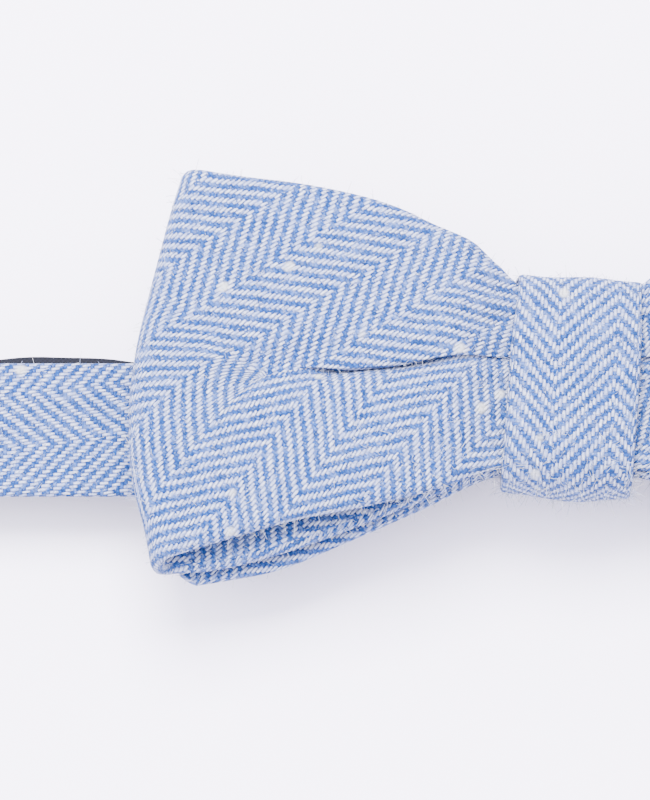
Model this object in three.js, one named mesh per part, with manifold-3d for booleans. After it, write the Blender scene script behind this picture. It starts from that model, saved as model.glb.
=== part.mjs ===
// A ready-tied bow tie, lying on its back with its neckband folded flat beneath it and its clasp undone.
// Millimetres. +X runs along the bow, +Y up its height, +Z out of its front. The table is z = 0.

import * as THREE from 'three';
import { mergeVertices } from 'three/addons/utils/BufferGeometryUtils.js';
import Module from 'manifold-3d';

const wasm = await Module();
wasm.setup();

// ---- Driving dimensions ----

const clearance = 0.3; // left between pieces that lie on each other

// Neckband: a cover, a stiffening core and a lining
const bandWidth = 19;
const bandCoverPly = 0.6;
const bandCorePly = 0.4;
const bandLiningPly = 0.3;
const foldReach = 104; // from the knot's middle to the middle of each end fold
const bandDropAtEnds = 5.4; // the band's middle below the knot's middle, out past the bow
const bandLift = 1.2; // the band sits this far above the bottom of the knot's opening
const bandEaseStart = 15;
const bandEaseEnd = 55;
const neckHeadroom = 1.4; // over the adjuster, below the front run

// The left back run lies slightly bowed, so that its edge shows beside the front run
const bowedOffset = 0.4;
const bowedHeight = 3;
const bowedAt = -75;
const bowedSpread = 17;
const bowedRise = 6.6; // further up, behind the bow
const bowedRiseStart = -74;
const bowedRiseEnd = -22;

// The right back run lies straight, at a slant from its end fold
const rightSlant = THREE.MathUtils.degToRad(4.5);

// Clasp and adjuster
const wireRadius = 0.55; // bars that the band turns round
const wirePlay = 0.35;
const plateThickness = 1;
const endLoopPly = 0.8; // band end, pressed thin where it is sewn round a bar
const returnPly = 1.2;
const armWidth = 1.3;
const armPlay = 0.5;
const eyeSlot = 2.6; // from the bar's middle to the plate behind its slot
const crossbarWidth = 1.5;
const eyeBarX = -12;
const eyeWindowLength = 4.8;
const eyeWindowWidth = 11;
const eyeTipWidth = 15;
const hookBarX = 15.5;
const tongueLength = 8;
const tongueWidth = 7;
const tongueCurl = 1.25;
const tongueTip = 3;
const sliderX = 28;
const sliderHalfLength = 5.5;
const sliderBarLength = 1.4;
const sliderBarThickness = 0.9;
const adjusterTravel = 32;
const loopLegLength = 3;
const endLoopLength = 8.7;
const tackWidth = 12;
const tackLength = 0.9;
const threadThickness = 0.3;

// Knot
const knotHalfWidth = 9;
const knotHalfHeight = 15.4;
const knotPly = 0.9;
const knotCorePly = 0.5;
const knotCornerRadius = 2.6;
const knotCrown = 0.8;
const knotLean = 0.08; // sideways run of the knot for each unit of height
const knotSeam = 0.5;
const knotStitchLength = 12;
const knotStitchWidth = 2;
const gatherWidth = 1.2;

// Bow: a front loop and a rear strip, each a flat sewn tube round a core
const bowHalfLength = 61.2;
const bowTop = 30.4;
const bowBottom = 27.3;
const cornerReach = 54; // where the wing is tallest
const stripPly = 0.5;
const stripCorePly = 0.5;
const stripSeam = 0.6;
const rearInset = 4;
const rearDrop = 1.3;
const turningSlit = 14;
const wingPuffEnd = 1.6; // how far the loop's legs stand apart at its ends
const wingPuffMiddle = 1.7;
const creaseShare = 0.85;
const creaseHalfWidth = 6;
const creaseAtKnot = 3.4;
const creaseAtEnd = -6.4;
const endPoint = -6.4; // height at which the wing reaches furthest out
const endTopInset = 7;
const endBottomInset = 3;
const hemMargin = 1.6; // from the wing's edge to the hollow inside it
const coreMargin = 1; // from the hollow's edge to the core

// ---- Sizes that follow ----

const bandHalf = bandWidth / 2;
const bandThickness = bandCoverPly + bandCorePly + bandLiningPly + 2 * clearance;
const loopInner = wireRadius + wirePlay;
const leftTailZ = 0;
const rightTailZ = sliderBarThickness + clearance;
const rightTailTop = rightTailZ + bandThickness;
const hookBarZ = rightTailTop + loopInner;
const returnZ = hookBarZ + loopInner;
const sliderLoopZ = rightTailTop + clearance;
const sliderBarZ = sliderLoopZ + endLoopPly + loopInner;
const sliderLoopTop = sliderBarZ + loopInner + endLoopPly;
const frontRunZ = sliderLoopTop + neckHeadroom;
const frontRunTop = frontRunZ + bandThickness;
const eyeBarZ = leftTailZ + endLoopPly + loopInner;
const armInner = bandHalf + armPlay;
const armOuter = armInner + armWidth;

const stripThickness = 2 * stripPly + stripCorePly + 2 * clearance;
const gatherLowZ = frontRunTop + clearance;
const rearStripZ = gatherLowZ + threadThickness + clearance;
const backLegZ = rearStripZ + stripThickness + clearance;
const frontLegZ = backLegZ + stripThickness + clearance;
const gatherTopZ = frontLegZ + stripThickness + clearance + threadThickness;
const knotCoreTopZ = gatherTopZ + clearance + knotCorePly;
const knotFrontZ = knotCoreTopZ + clearance + knotPly;
const knotCoreBackZ = frontRunZ - clearance - knotCorePly;
const knotBackZ = knotCoreBackZ - clearance - knotPly;

const knotCoreOuter = knotHalfHeight - knotPly - clearance;
const knotCoreInner = knotCoreOuter - knotCorePly;
const gatherOuter = knotCoreInner - clearance;
const stackHalf = gatherOuter - threadThickness - clearance;
const bandDropAtKnot = knotCoreInner - bandHalf - 2 * clearance - bandLift;
const flareStart = knotHalfWidth + clearance;

const hookSlot = hookBarZ - rightTailZ + 2 * clearance; // so that the hook swings clear of the band's loop
const hookLoopEnd = hookBarX + loopLegLength;
const rightTailStart = hookLoopEnd + adjusterTravel + loopLegLength;
const leftTailEnd = eyeBarX - endLoopLength - clearance;
const runEnd = foldReach - clearance;

// ---- Solids ----

function toSolid(geometry) {
  const bare = geometry.clone();
  bare.deleteAttribute('normal');
  bare.deleteAttribute('uv');
  const merged = mergeVertices(bare, 1e-4);
  return new wasm.Manifold(new wasm.Mesh({
    numProp: 3,
    vertProperties: new Float32Array(merged.attributes.position.array),
    triVerts: new Uint32Array(merged.index.array),
  }));
}

function toGeometry(solid) {
  const mesh = solid.getMesh();
  const geometry = new THREE.BufferGeometry();
  geometry.setAttribute('position', new THREE.BufferAttribute(new Float32Array(mesh.vertProperties), 3));
  geometry.setIndex(new THREE.BufferAttribute(new Uint32Array(mesh.triVerts), 1));
  return geometry;
}

function extrude(shape, depth, steps, curveSegments) {
  return new THREE.ExtrudeGeometry(shape, { depth, steps, curveSegments, bevelEnabled: false });
}

// A side view (x, z) given width along Y, centred on y = 0
function fromSide(shape, width, steps = 1, curveSegments = 8) {
  const geometry = extrude(shape, width, steps, curveSegments);
  geometry.rotateX(Math.PI / 2);
  geometry.translate(0, width / 2, 0);
  return geometry;
}

// A section (y, z) run along X from one x to another
function fromSection(shape, fromX, toX, steps = 1, curveSegments = 6) {
  const geometry = extrude(shape, toX - fromX, steps, curveSegments);
  const turn = new THREE.Matrix4().makeBasis(
    new THREE.Vector3(0, 1, 0),
    new THREE.Vector3(0, 0, 1),
    new THREE.Vector3(1, 0, 0),
  );
  geometry.applyMatrix4(turn);
  geometry.translate(fromX, 0, 0);
  return geometry;
}

// A plan (x, y) given thickness upward from a height
function fromPlan(shape, bottomZ, thickness) {
  const geometry = extrude(shape, thickness, 1, 6);
  geometry.translate(0, 0, bottomZ);
  return geometry;
}

function moveEach(geometry, move) {
  const position = geometry.attributes.position;
  const point = new THREE.Vector3();
  for (let i = 0; i < position.count; i += 1) {
    point.fromBufferAttribute(position, i);
    move(point);
    position.setXYZ(i, point.x, point.y, point.z);
  }
  return geometry;
}

function block(fromX, toX, halfWidth, bottomZ, topZ) {
  const geometry = new THREE.BoxGeometry(toX - fromX, 2 * halfWidth, topZ - bottomZ);
  geometry.translate((fromX + toX) / 2, 0, (bottomZ + topZ) / 2);
  return geometry;
}

function crossBar(x, z, halfLength) {
  const geometry = new THREE.CylinderGeometry(wireRadius, wireRadius, 2 * halfLength, 12);
  geometry.translate(x, 0, z);
  return geometry;
}

function polygon(points) {
  return new THREE.Shape(points.map(([a, b]) => new THREE.Vector2(a, b)));
}

const smooth = THREE.MathUtils.smoothstep;
const clamp = THREE.MathUtils.clamp;

// ---- Materials ----

function herringboneWool() {
  return new THREE.MeshStandardMaterial({ color: 0x9db9e0, roughness: 0.9, metalness: 0 });
}

function darkLining() {
  return new THREE.MeshStandardMaterial({ color: 0x1c2130, roughness: 0.85, metalness: 0 });
}

function stiffener() {
  return new THREE.MeshStandardMaterial({ color: 0xe9e6de, roughness: 0.95, metalness: 0 });
}

function sewingThread() {
  return new THREE.MeshStandardMaterial({ color: 0x7fa6d8, roughness: 0.8, metalness: 0 });
}

function platedMetal() {
  return new THREE.MeshStandardMaterial({ color: 0xc4c6ca, roughness: 0.3, metalness: 1 });
}

function addPiece(group, name, geometry, material) {
  const piece = new THREE.Mesh(geometry, material);
  piece.name = name;
  group.add(piece);
}

// ---- Neckband ----

function frontRunMiddle(x) {
  return -THREE.MathUtils.lerp(bandDropAtKnot, bandDropAtEnds, smooth(Math.abs(x), bandEaseStart, bandEaseEnd));
}

function leftRunMiddle(x) {
  const away = (x - bowedAt) / bowedSpread;
  const rise = bowedRise * smooth(x, bowedRiseStart, bowedRiseEnd);
  return bowedOffset + bowedHeight * Math.exp(-away * away) + rise - bandDropAtEnds;
}

// Band sections as (y, z), with the cover's face at z = 0 and the lining on top
function coverSection() {
  const rim = bandCoverPly + clearance + bandCorePly;
  const inner = bandHalf - bandCoverPly;
  return [
    [-bandHalf, 0], [bandHalf, 0], [bandHalf, rim], [inner, rim],
    [inner, bandCoverPly], [-inner, bandCoverPly], [-inner, rim], [-bandHalf, rim],
  ];
}

function slabSection(halfWidth, bottom, thickness) {
  return [[-halfWidth, bottom], [halfWidth, bottom], [halfWidth, bottom + thickness], [-halfWidth, bottom + thickness]];
}

function bandPlies() {
  const coreHalf = bandHalf - bandCoverPly - clearance;
  const liningHalf = bandHalf - bandCoverPly;
  return [
    { layer: 'cover', section: coverSection(), material: herringboneWool() },
    { layer: 'interlining', section: slabSection(coreHalf, bandCoverPly + clearance, bandCorePly), material: stiffener() },
    { layer: 'lining', section: slabSection(liningHalf, bandThickness - bandLiningPly, bandLiningPly), material: darkLining() },
  ];
}

// One straight run of the band; a run with its cover on top is turned over
function addRun(group, prefix, { fromX, toX, bottomZ, coverUp, middle, steps }) {
  for (const { layer, section, material } of bandPlies()) {
    const turned = section.map(([y, z]) => (coverUp ? [-y, bandThickness - z] : [y, z]));
    const geometry = fromSection(polygon(turned), fromX, toX, steps);
    moveEach(geometry, (point) => {
      point.y += middle(point.x);
      point.z += bottomZ;
    });
    addPiece(group, `${prefix}_${layer}`, geometry, material);
  }
}

// The half turn that joins the front run to a back run, which may leave it at a slant
function foldGeometry(side, lowZ, lowOffset, slant) {
  const outer = (frontRunTop - lowZ) / 2;
  const centreZ = lowZ + outer;
  const shape = new THREE.Shape();
  shape.absarc(0, 0, outer, -Math.PI / 2, Math.PI / 2, false);
  shape.absarc(0, 0, outer - bandThickness, Math.PI / 2, -Math.PI / 2, true);
  const geometry = fromSide(shape, bandWidth, 1, 10);
  if (side < 0) {
    geometry.rotateZ(Math.PI);
  }
  const upright = new THREE.Vector3(0, 0, 1);
  return moveEach(geometry, (point) => {
    const low = 1 - clamp(0.5 + point.z / (2 * outer), 0, 1);
    point.applyAxisAngle(upright, -slant * low);
    point.x += side * foldReach;
    point.y += lowOffset * low - bandDropAtEnds;
    point.z += centreZ;
  });
}

function addNeckband(group) {
  addRun(group, 'band', {
    fromX: -runEnd, toX: runEnd, bottomZ: frontRunZ, coverUp: true, middle: frontRunMiddle, steps: 22,
  });
  addRun(group, 'left_tail', {
    fromX: -runEnd, toX: leftTailEnd, bottomZ: leftTailZ, coverUp: false, middle: leftRunMiddle, steps: 10,
  });
  const leftOffset = leftRunMiddle(-foldReach) + bandDropAtEnds;
  addPiece(group, 'left_fold', foldGeometry(-1, leftTailZ, leftOffset, 0), herringboneWool());
  addPiece(group, 'right_fold', foldGeometry(1, rightTailZ, 0, rightSlant), herringboneWool());
}

// The right back run, in its own straight frame, where x = 0 is the middle of the end fold
function addRightTail(group) {
  addRun(group, 'right_tail', {
    fromX: rightTailStart - foldReach, toX: -clearance, bottomZ: rightTailZ, coverUp: false,
    middle: () => 0, steps: 1,
  });
}

// ---- Clasp ----

// The band's end turned back round the eye's bar and sewn down
function addLeftEndLoop(group) {
  const outer = loopInner + endLoopPly;
  const shape = new THREE.Shape();
  shape.moveTo(-endLoopLength, leftTailZ);
  shape.lineTo(0, leftTailZ);
  shape.absarc(0, eyeBarZ, outer, -Math.PI / 2, Math.PI / 2, false);
  shape.lineTo(-outer - endLoopPly, eyeBarZ + outer);
  shape.lineTo(1.2 - endLoopLength, leftTailZ + bandThickness);
  shape.lineTo(-endLoopLength, leftTailZ + bandThickness);
  const hole = new THREE.Path();
  hole.absarc(0, eyeBarZ, loopInner, 0, 2 * Math.PI, true);
  shape.holes.push(hole);
  const loop = fromSide(shape, bandWidth, 1, 8);
  loop.translate(eyeBarX, leftRunMiddle(leftTailEnd), 0);
  addPiece(group, 'left_end_loop', loop, herringboneWool());

  const tackZ = leftTailZ + bandThickness + clearance;
  const tackX = eyeBarX - endLoopLength;
  const tack = block(tackX, tackX + tackLength, tackWidth / 2, tackZ, tackZ + threadThickness);
  tack.translate(0, leftRunMiddle(leftTailEnd), 0);
  addPiece(group, 'left_bar_tack', tack, sewingThread());
}

// A flat plate with two arms that carry the round bar; away is the side that the plate lies on
function barredPlate(barX, barZ, away, slotReach, plan) {
  const plate = toSolid(fromPlan(polygon(plan), barZ - plateThickness / 2, plateThickness));
  const slotFrom = barX - away * (wireRadius + clearance);
  const slotTo = barX + away * slotReach;
  const slot = toSolid(block(Math.min(slotFrom, slotTo), Math.max(slotFrom, slotTo), armInner, barZ - 2, barZ + 2));
  const bar = toSolid(crossBar(barX, barZ, armOuter));
  return plate.subtract(slot).add(bar);
}

function addEye(group) {
  const windowX = eyeBarX + eyeSlot + crossbarWidth;
  const tipX = windowX + eyeWindowLength + crossbarWidth;
  const plan = [
    [eyeBarX, -armOuter], [windowX, -armOuter], [tipX, -eyeTipWidth / 2],
    [tipX, eyeTipWidth / 2], [windowX, armOuter], [eyeBarX, armOuter],
  ];
  const window = toSolid(block(
    windowX, windowX + eyeWindowLength, eyeWindowWidth / 2, eyeBarZ - plateThickness, eyeBarZ + plateThickness,
  ));
  const eye = toGeometry(barredPlate(eyeBarX, eyeBarZ, 1, eyeSlot, plan).subtract(window));
  eye.translate(0, leftRunMiddle(leftTailEnd), 0);
  addPiece(group, 'eye_ring', eye, platedMetal());
}

function addHook(group) {
  const shoulderX = -hookSlot - crossbarWidth;
  const neckX = shoulderX - crossbarWidth;
  const noseX = shoulderX - tongueLength;
  const plan = [
    [0, armOuter], [shoulderX, armOuter], [neckX, tongueWidth / 2],
    [neckX, -tongueWidth / 2], [shoulderX, -armOuter], [0, -armOuter],
  ];
  const half = plateThickness / 2;
  const curlZ = hookBarZ - tongueCurl;
  const side = new THREE.Shape();
  side.moveTo(shoulderX, hookBarZ + half);
  side.lineTo(noseX, hookBarZ + half);
  side.absarc(noseX, curlZ, tongueCurl + half, Math.PI / 2, -Math.PI / 2, false);
  side.lineTo(noseX + tongueTip, curlZ - tongueCurl - half);
  side.lineTo(noseX + tongueTip, curlZ - tongueCurl + half);
  side.absarc(noseX, curlZ, tongueCurl - half, -Math.PI / 2, Math.PI / 2, true);
  side.lineTo(shoulderX, hookBarZ - half);
  const tongue = toSolid(fromSide(side, tongueWidth, 1, 6));
  const hook = toGeometry(barredPlate(0, hookBarZ, -1, hookSlot, plan).add(tongue));
  hook.translate(hookBarX - foldReach, 0, 0);
  addPiece(group, 'clasp_hook', hook, platedMetal());
}

// ---- Adjuster ----

// The band turned back round the hook's bar: full thickness below, pressed thin above
function addHookLoop(group) {
  const outer = (returnZ + returnPly - rightTailZ) / 2;
  const shape = new THREE.Shape();
  shape.moveTo(loopLegLength, rightTailZ);
  shape.lineTo(0, rightTailZ);
  shape.absarc(0, rightTailZ + outer, outer, -Math.PI / 2, Math.PI / 2, true);
  shape.lineTo(loopLegLength, returnZ + returnPly);
  shape.lineTo(loopLegLength, returnZ);
  shape.absarc(0, hookBarZ, loopInner, Math.PI / 2, -Math.PI / 2, false);
  shape.lineTo(loopLegLength, rightTailTop);
  const loop = fromSide(shape, bandWidth, 1, 8);
  loop.translate(hookBarX - foldReach, 0, 0);
  addPiece(group, 'hook_loop', loop, herringboneWool());
}

function addAdjusterLegs(group) {
  const feedFrom = hookLoopEnd + clearance;
  const feed = block(feedFrom, rightTailStart - clearance, bandHalf, rightTailZ, rightTailTop);
  feed.translate(-foldReach, 0, 0);
  addPiece(group, 'feed_leg', feed, herringboneWool());

  const returnTo = sliderX - sliderHalfLength - clearance;
  const back = block(feedFrom, returnTo, bandHalf, returnZ, returnZ + returnPly);
  back.translate(-foldReach, 0, 0);
  addPiece(group, 'return_leg', back, herringboneWool());
}

// The slider's low bars run under the band, and its middle bar over it
function addSlider(group) {
  const half = sliderHalfLength;
  const cheek = polygon([
    [-half, 0], [half, 0], [half, sliderBarThickness], [1, sliderBarZ + wireRadius],
    [-1, sliderBarZ + wireRadius], [-half, sliderBarThickness],
  ]);
  let frame = toSolid(crossBar(0, sliderBarZ, armOuter));
  for (const side of [-1, 1]) {
    const plate = fromSide(cheek, armWidth);
    plate.translate(0, side * (armInner + armWidth / 2), 0);
    const outerX = side * half;
    const innerX = side * (half - sliderBarLength);
    const bar = block(Math.min(outerX, innerX), Math.max(outerX, innerX), armOuter, 0, sliderBarThickness);
    frame = frame.add(toSolid(plate)).add(toSolid(bar));
  }
  const slider = toGeometry(frame);
  slider.translate(sliderX - foldReach, 0, 0);
  addPiece(group, 'slider_frame', slider, platedMetal());
}

// The band's very end, sewn round the slider's middle bar
function addSliderEndLoop(group) {
  const outer = loopInner + endLoopPly;
  const shape = new THREE.Shape();
  shape.moveTo(-sliderHalfLength, returnZ);
  shape.lineTo(-outer, sliderLoopZ);
  shape.lineTo(0, sliderLoopZ);
  shape.absarc(0, sliderBarZ, outer, -Math.PI / 2, Math.PI / 2, false);
  shape.lineTo(-outer, sliderLoopTop);
  shape.lineTo(-sliderHalfLength, returnZ + returnPly);
  const hole = new THREE.Path();
  hole.absarc(0, sliderBarZ, loopInner, 0, 2 * Math.PI, true);
  shape.holes.push(hole);
  const loop = fromSide(shape, bandWidth, 1, 8);
  loop.translate(sliderX - foldReach, 0, 0);
  addPiece(group, 'slider_end_loop', loop, herringboneWool());

  const tackZ = sliderLoopTop + clearance;
  const tack = block(-outer - tackLength, -outer, tackWidth / 2, tackZ, tackZ + threadThickness);
  tack.translate(sliderX - foldReach, 0, 0);
  addPiece(group, 'slider_bar_tack', tack, sewingThread());
}

// ---- Knot ----

function roundedOutline(path, half, lowZ, highZ, radius) {
  path.moveTo(-half + radius, lowZ);
  path.lineTo(half - radius, lowZ);
  path.absarc(half - radius, lowZ + radius, radius, -Math.PI / 2, 0, false);
  path.lineTo(half, highZ - radius);
  path.absarc(half - radius, highZ - radius, radius, 0, Math.PI / 2, false);
  path.lineTo(-half + radius, highZ);
  path.absarc(-half + radius, highZ - radius, radius, Math.PI / 2, Math.PI, false);
  path.lineTo(-half, lowZ + radius);
  path.absarc(-half + radius, lowZ + radius, radius, Math.PI, 1.5 * Math.PI, false);
  return path;
}

function ringSection(half, lowZ, highZ, radius, wall) {
  const shape = roundedOutline(new THREE.Shape(), half, lowZ, highZ, radius);
  const hole = roundedOutline(new THREE.Path(), half - wall, lowZ + wall, highZ - wall, radius - wall);
  shape.holes.push(hole);
  return shape;
}

// Everything near the knot leans with it
function lean(point) {
  const fade = 1 - smooth(Math.abs(point.x), flareStart, cornerReach);
  point.x += knotLean * point.y * fade;
}

function addKnot(group) {
  const section = ringSection(knotHalfHeight, knotBackZ, knotFrontZ, knotCornerRadius, knotPly);
  const ring = fromSection(section, -knotHalfWidth, knotHalfWidth, 6, 5);
  const crowned = moveEach(ring, (point) => {
    const along = point.x / knotHalfWidth;
    if (point.z > knotFrontZ - knotCornerRadius) {
      point.z += knotCrown * (1 - along * along);
    }
    lean(point);
  });
  const seam = toSolid(block(-2 * knotHalfWidth, 2 * knotHalfWidth, knotSeam / 2, knotBackZ - 1, knotCoreBackZ - 0.1));
  addPiece(group, 'knot_cover', toGeometry(toSolid(crowned).subtract(seam)), herringboneWool());

  const coreRadius = knotCornerRadius - knotPly - clearance;
  const coreSection = ringSection(knotCoreOuter, knotCoreBackZ, knotCoreTopZ, coreRadius, knotCorePly);
  const core = moveEach(fromSection(coreSection, -knotHalfWidth + 1, knotHalfWidth - 1, 1, 3), lean);
  addPiece(group, 'knot_interlining', core, stiffener());

  const stitchZ = knotBackZ - clearance;
  const stitch = block(
    -knotStitchLength / 2, knotStitchLength / 2, knotStitchWidth / 2, stitchZ - threadThickness, stitchZ,
  );
  addPiece(group, 'knot_stitches', stitch, sewingThread());

  const gatherRadius = coreRadius - knotCorePly - clearance;
  const gatherSection = ringSection(gatherOuter, gatherLowZ, gatherTopZ, gatherRadius, threadThickness);
  const gather = moveEach(fromSection(gatherSection, -gatherWidth / 2, gatherWidth / 2, 1, 2), lean);
  addPiece(group, 'gather_thread', gather, sewingThread());
}

// ---- Bow ----

function wingShare(x) {
  return clamp((Math.abs(x) - flareStart) / (cornerReach - flareStart), 0, 1);
}

function wingTop(x) {
  return stackHalf + (bowTop - stackHalf) * Math.pow(wingShare(x), 0.45);
}

function wingBottom(x, drop) {
  return -stackHalf - (bowBottom + drop - stackHalf) * Math.pow(wingShare(x), 0.87);
}

// How far the wing's end draws in from its furthest reach, at a height y
function endInset(y) {
  if (y > endPoint) {
    return endTopInset * Math.pow((y - endPoint) / (bowTop - endPoint), 1.1);
  }
  return endBottomInset * Math.pow((endPoint - y) / (endPoint + bowBottom), 1.3);
}

// How far the front leg stands off the back leg, less along the pleat's crease
function wingPuff(x, y) {
  const share = wingShare(x);
  const rise = wingPuffEnd * smooth(share, 0, 0.3) + wingPuffMiddle * Math.sin(Math.PI * share);
  const creaseY = THREE.MathUtils.lerp(creaseAtKnot, creaseAtEnd, share * share);
  const crease = Math.max(0, 1 - Math.abs(y - creaseY) / creaseHalfWidth) * (1 - share);
  return rise * (1 - creaseShare * crease);
}

// Turns a flat blank, with y from -1 to 1, into the flared wings
function flare(point, drop) {
  const raised = clamp((point.z - (frontLegZ - clearance)) / clearance, 0, 1);
  const bottom = wingBottom(point.x, drop);
  point.y = THREE.MathUtils.lerp(bottom, wingTop(point.x), (point.y + 1) / 2);
  point.z += raised * wingPuff(point.x, point.y);
  const reach = point.x / bowHalfLength;
  point.x -= Math.sign(point.x) * endInset(point.y) * reach * reach;
  lean(point);
}

// Distances along half a wing, closer together near the knot
function wingStations(reach) {
  const count = 8;
  const stations = [];
  for (let i = 0; i <= count; i += 1) {
    stations.push(flareStart + (reach - flareStart) * Math.pow(i / count, 1.7));
  }
  return stations;
}

// The folded strip's middle line, from its butted end round both wing ends and back to the other end
function loopStations(endGap) {
  const frontZ = frontLegZ + stripThickness / 2;
  const backZ = backLegZ + stripThickness / 2;
  const radius = (frontZ - backZ) / 2;
  const leg = wingStations(bowHalfLength - radius - stripThickness / 2);
  const endX = leg[leg.length - 1];
  const arcSteps = 6;
  const half = [];
  for (const x of leg) {
    half.push({ x, z: frontZ, outX: 0, outZ: 1 });
  }
  for (let i = 1; i < arcSteps; i += 1) {
    const turn = Math.PI * (0.5 - i / arcSteps);
    const outX = Math.cos(turn);
    const outZ = Math.sin(turn);
    half.push({ x: endX + radius * outX, z: (frontZ + backZ) / 2 + radius * outZ, outX, outZ });
  }
  for (const x of [...leg].reverse()) {
    half.push({ x, z: backZ, outX: 0, outZ: -1 });
  }
  half.push({ x: endGap, z: backZ, outX: 0, outZ: -1 });
  const mirrored = [...half].reverse().map(({ x, z, outX, outZ }) => ({ x: -x, z, outX: -outX, outZ }));
  return [...mirrored, ...half];
}

function rearStations(reach) {
  const z = rearStripZ + stripThickness / 2;
  const half = wingStations(reach).map((x) => ({ x, z, outX: 0, outZ: 1 }));
  const mirrored = [...half].reverse().map((station) => ({ ...station, x: -station.x }));
  return [...mirrored, ...half];
}

// A flat strip with y from -1 to 1, bent along its stations; only its two hems are drawn in
function bentStrip(stations, thickness, halfSpan, steps) {
  const last = stations.length - 1;
  const geometry = new THREE.BoxGeometry(1, 2, thickness, last, steps, 1);
  return moveEach(geometry, (point) => {
    const station = stations[Math.round((point.x + 0.5) * last)];
    const offset = point.z;
    point.set(
      station.x + station.outX * offset,
      clamp(point.y, -halfSpan, halfSpan),
      station.z + station.outZ * offset,
    );
  });
}

// A sewn tube with its core: the shell, the hollow inside it and the core
function tubePieces({ shellStations, hollowStations, coreStations, drop, steps }) {
  const hemShare = hemMargin / bowTop;
  const coreShare = coreMargin / bowTop;
  const flared = (stations, thickness, halfSpan) => moveEach(
    bentStrip(stations, thickness, halfSpan, steps),
    (point) => flare(point, drop),
  );
  return {
    shell: flared(shellStations, stripThickness, 1),
    hollow: flared(hollowStations, stripCorePly + 2 * clearance, 1 - hemShare),
    core: flared(coreStations, stripCorePly, 1 - hemShare - coreShare),
  };
}

function addFrontLoop(group) {
  const { shell, hollow, core } = tubePieces({
    shellStations: loopStations(stripSeam / 2),
    hollowStations: loopStations(stripSeam / 4),
    coreStations: loopStations(stripSeam),
    drop: 0,
    steps: 8,
  });
  addPiece(group, 'front_loop_shell', toGeometry(toSolid(shell).subtract(toSolid(hollow))), herringboneWool());
  addPiece(group, 'front_loop_interlining', core, stiffener());
}

function addRearStrip(group) {
  const reach = bowHalfLength - rearInset;
  const { shell, hollow, core } = tubePieces({
    shellStations: rearStations(reach),
    hollowStations: rearStations(reach - hemMargin),
    coreStations: rearStations(reach - hemMargin - coreMargin),
    drop: rearDrop,
    steps: 4,
  });
  const hollowZ = rearStripZ + stripPly;
  const slit = toSolid(block(
    -stripSeam / 2, stripSeam / 2, turningSlit / 2, rearStripZ - clearance, hollowZ + clearance / 2,
  ));
  const opened = toSolid(shell).subtract(toSolid(hollow)).subtract(slit);
  addPiece(group, 'rear_strip_shell', toGeometry(opened), herringboneWool());
  addPiece(group, 'rear_strip_interlining', core, stiffener());
}

// ---- Assembly ----

const bowTie = new THREE.Group();
addFrontLoop(bowTie);
addRearStrip(bowTie);
addKnot(bowTie);
addNeckband(bowTie);
addLeftEndLoop(bowTie);
addEye(bowTie);

const rightSide = new THREE.Group();
rightSide.position.set(foldReach, -bandDropAtEnds, 0);
rightSide.rotation.z = -rightSlant;
addRightTail(rightSide);
addHook(rightSide);
addHookLoop(rightSide);
addAdjusterLegs(rightSide);
addSlider(rightSide);
addSliderEndLoop(rightSide);
bowTie.add(rightSide);

export default bowTie;
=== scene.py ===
import math

import bpy
import numpy as np
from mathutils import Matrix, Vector


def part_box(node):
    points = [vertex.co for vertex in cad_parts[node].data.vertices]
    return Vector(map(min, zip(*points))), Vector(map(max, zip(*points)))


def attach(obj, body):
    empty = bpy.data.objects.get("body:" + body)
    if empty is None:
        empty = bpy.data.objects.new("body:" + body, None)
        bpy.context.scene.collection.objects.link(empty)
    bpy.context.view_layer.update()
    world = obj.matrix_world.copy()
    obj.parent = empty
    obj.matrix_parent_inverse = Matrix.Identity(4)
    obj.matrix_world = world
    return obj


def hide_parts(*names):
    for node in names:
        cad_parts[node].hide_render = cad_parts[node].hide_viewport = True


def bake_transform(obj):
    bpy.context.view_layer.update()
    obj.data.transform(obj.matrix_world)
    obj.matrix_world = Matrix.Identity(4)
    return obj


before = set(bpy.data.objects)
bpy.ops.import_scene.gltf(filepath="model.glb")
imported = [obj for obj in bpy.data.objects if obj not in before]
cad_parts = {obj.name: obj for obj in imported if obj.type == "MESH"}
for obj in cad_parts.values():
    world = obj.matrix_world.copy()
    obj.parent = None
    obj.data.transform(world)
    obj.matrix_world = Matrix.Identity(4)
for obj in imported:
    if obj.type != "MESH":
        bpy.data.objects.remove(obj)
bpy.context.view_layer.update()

MM = 0.001

# ---------------------------------------------------------------------------
# Camera: looks down on the tie from in front of its lower edge, at the bow's
# left wing, with the knot near the right of the view.

view_elevation = math.radians(72)
view_distance = 0.75
view_target = Vector((-34.3, -1.3, 11.0)) * MM
view_height = 111.1 * MM
film_height = 36.0

lens_data = bpy.data.cameras.new("camera")
lens_data.sensor_fit = "VERTICAL"
lens_data.sensor_height = film_height
lens_data.lens = film_height * view_distance / view_height
lens_data.clip_start = 0.01
lens_data.clip_end = 20
camera = bpy.data.objects.new("camera", lens_data)
toward_camera = Vector((0, -math.cos(view_elevation), math.sin(view_elevation)))
camera.location = view_target + toward_camera * view_distance
camera.rotation_euler = (math.pi / 2 - view_elevation, 0, 0)
bpy.context.scene.collection.objects.link(camera)
bpy.context.scene.camera = camera

# ---------------------------------------------------------------------------
# Table and light: a pale matt table in bright, even light. The key light stands
# beyond the tie's upper edge, and a wider, fainter one on the left fills in.


def soft_light(name, location, size, power, colour):
    data = bpy.data.lights.new(name, "AREA")
    data.shape = "SQUARE"
    data.size = size
    data.energy = power
    data.color = colour
    light = bpy.data.objects.new(name, data)
    light.location = location
    light.rotation_euler = (Vector((0, 0, 0)) - Vector(location)).to_track_quat("-Z", "Y").to_euler()
    bpy.context.scene.collection.objects.link(light)


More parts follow.
